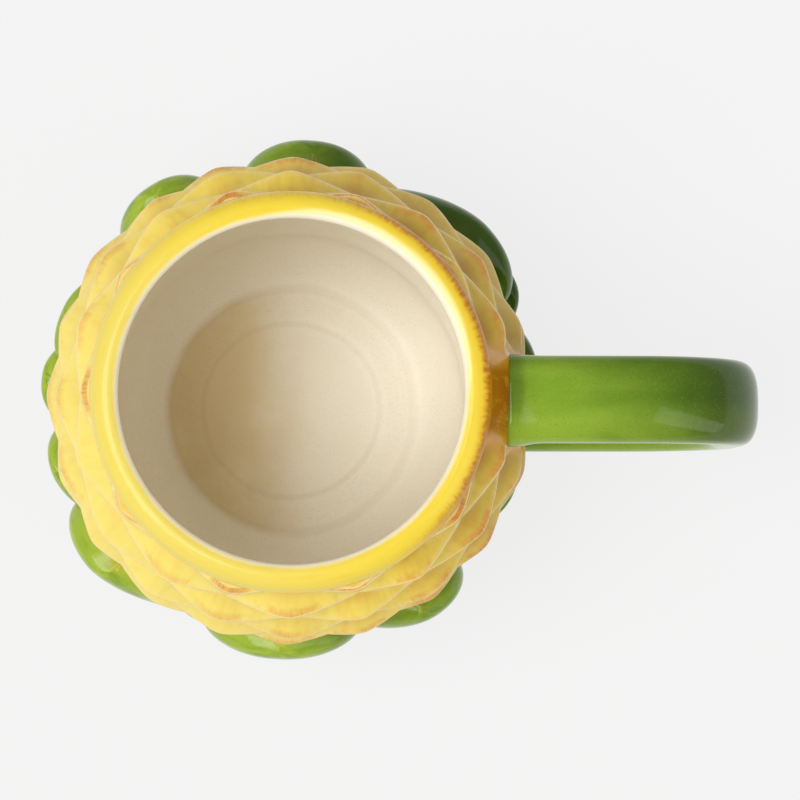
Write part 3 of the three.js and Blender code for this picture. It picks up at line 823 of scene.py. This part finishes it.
def make_leaf(row, number, change, material):
    """A closed leaf over the cup's seat: an arched outer side, and edges that sink into the cup."""
    turn, lean, wider, further, higher, skew = change
    angle = math.radians(row["turn"] + 360 / LEAVES_AROUND * number + turn)
    lean = math.radians(lean)
    start, end = row["start"], row["tip"] + higher
    full_bulge = (row["bulge"] + further + LEAF_GAP_FILL) / tip_closing(LEAF_BULGE_SHARE) ** 0.5
    swell_there = float(smoothstep(LEAF_BULGE_SHARE, LEAF_SWELL_START, 1))
    swell = (full_bulge - row["thickness"]) / swell_there
    outer = -np.cos(np.linspace(0, math.pi, LEAF_OUTER_STEPS + 1))
    inner = np.linspace(1, -1, LEAF_INNER_STEPS + 1)[1:-1]
    arch = arch_height(outer, skew)
    across = np.concatenate([outer, inner])
    lift = np.concatenate([arch, np.zeros(len(inner))])
    is_outer = np.concatenate([np.ones(len(outer)), np.zeros(len(inner))])
    rings, measures = [], []
    for t in np.linspace(0, 1, LEAF_RINGS + 1)[:-1]:
        along = math.sin(t * math.pi / 2)
        z = start + along * (end - start)
        closing = tip_closing(along)
        to_base = max(1 - along / LEAF_WIDEST_SHARE, 0) ** 2
        half_width = (row["width"] + wider) / 2 * closing * (1 - (1 - LEAF_BASE_SHARE) * to_base)
        fullness = row["thickness"] + swell * float(smoothstep(along, LEAF_SWELL_START, 1))
        thickness = fullness * closing ** 0.5 * (1 - LEAF_BASE_THINNING * to_base)
        seat = float(seat_radius(z))
        middle = angle + lean * along ** 2
        vein_depth = LEAF_VEIN_DEPTH * float(smoothstep(along, LEAF_VEIN_END, LEAF_WIDEST_SHARE))
        vein = vein_depth * np.exp(-(across / LEAF_VEIN_WIDTH) ** 2)
        raised = is_outer * (thickness * lift - vein) - (1 - lift) * LEAF_SINK
        around = middle + across * half_width / seat
        radius = seat + raised
        height = np.full(len(around), z)
        rings.append(np.stack([radius * np.cos(around), radius * np.sin(around), height], -1))
        measures.append((np.full(len(across), along), across, lift * closing))
    name = f"{row['name']}_{number + 1:02d}"
    leaf = add_skin(f"glazed_{name}", np.array(rings))
    measures = np.array(measures)
    for i, measure in enumerate(("along", "across", "lift")):
        add_measure(leaf, measure, measures[:, i], (0.0, 1.0 if measure == "along" else 0.0))
    leaf.data.materials.append(material)
    dress(leaf, name)


# Studio

def add_lamp(name, place, target, size, power):
    """A white softbox at a place that faces the target."""
    data = bpy.data.lights.new(name, "AREA")
    data.shape = "RECTANGLE"
    data.size, data.size_y = size
    data.energy = power
    lamp = bpy.data.objects.new(name, data)
    lamp.location = place
    direction = Vector(target) - Vector(place)
    lamp.rotation_euler = direction.to_track_quat("-Z", "Y").to_euler()
    bpy.context.scene.collection.objects.link(lamp)


def make_floor():
    """A pale floor. To the camera, also by way of glaze, most of it glows evenly.

    The rest is shaded, so the object's shadow shows, and all other light meets a plain floor."""
    mesh = bpy.data.meshes.new("floor")
    half = FLOOR_HALF
    corners = [(-half, -half, 0), (half, -half, 0), (half, half, 0), (-half, half, 0)]
    mesh.from_pydata(corners, [], [(0, 1, 2, 3)])
    floor = bpy.data.objects.new("floor", mesh)
    bpy.context.scene.collection.objects.link(floor)
    material = bpy.data.materials.new("pale_floor")
    material.use_nodes = True
    tree = material.node_tree
    tree.nodes.clear()
    new, link = tree.nodes.new, tree.links.new
    plain = new("ShaderNodeBsdfDiffuse")
    plain.inputs["Color"].default_value = linear(FLOOR_SHADED)
    glow = new("ShaderNodeEmission")
    glow.inputs["Color"].default_value = linear(FLOOR_WHITE)
    glowing = new("ShaderNodeMixShader")
    glowing.inputs[0].default_value = FLOOR_GLOW
    link(plain.outputs[0], glowing.inputs[1])
    link(glow.outputs[0], glowing.inputs[2])
    path = new("ShaderNodeLightPath")
    in_sight = path.outputs["Is Camera Ray"]
    for ray in ("Is Glossy Ray", "Is Transmission Ray"):
        either = new("ShaderNodeMath")
        either.operation = "MAXIMUM"
        link(in_sight, either.inputs[0])
        link(path.outputs[ray], either.inputs[1])
        in_sight = either.outputs[0]
    choice = new("ShaderNodeMixShader")
    link(in_sight, choice.inputs[0])
    link(plain.outputs[0], choice.inputs[1])
    link(glowing.outputs[0], choice.inputs[2])
    out = new("ShaderNodeOutputMaterial")
    link(choice.outputs[0], out.inputs[0])
    mesh.materials.append(material)


def make_world():
    world = bpy.data.worlds.new("studio")
    bpy.context.scene.world = world
    world.use_nodes = True
    background = world.node_tree.nodes["Background"]
    background.inputs["Color"].default_value = (1, 1, 1, 1)
    background.inputs["Strength"].default_value = WORLD_STRENGTH


def make_camera():
    """Looks almost straight down, from where the photograph was taken."""
    data = bpy.data.cameras.new("camera")
    data.sensor_width = 36.0
    data.lens = CAMERA_LENS
    data.clip_end = 10.0
    camera = bpy.data.objects.new("camera", data)
    camera.location = CAMERA_PLACE
    camera.rotation_euler = camera_turn(Vector(CAMERA_PLACE), Vector(CAMERA_AIM))
    bpy.context.scene.collection.objects.link(camera)
    bpy.context.scene.camera = camera


def camera_turn(eye, aim):
    """Turn of a camera at eye that looks at aim, with +Y up in its picture."""
    back = (eye - aim).normalized()
    right = Vector((0, 1, 0)).cross(back).normalized()
    up = back.cross(right)
    return Matrix((right, up, back)).transposed().to_euler()


make_cup()
make_handle()
leaf_material = leaf_glaze()
for leaf_row, changes in ((UPPER_ROW, UPPER_CHANGES), (LOWER_ROW, LOWER_CHANGES)):
    for number, change in enumerate(changes):
        make_leaf(leaf_row, number, change, leaf_material)

make_floor()
make_world()
add_lamp("key", **KEY_LAMP)
add_lamp("fill", **FILL_LAMP)
make_camera()

bpy.context.scene.view_settings.view_transform = "Standard"
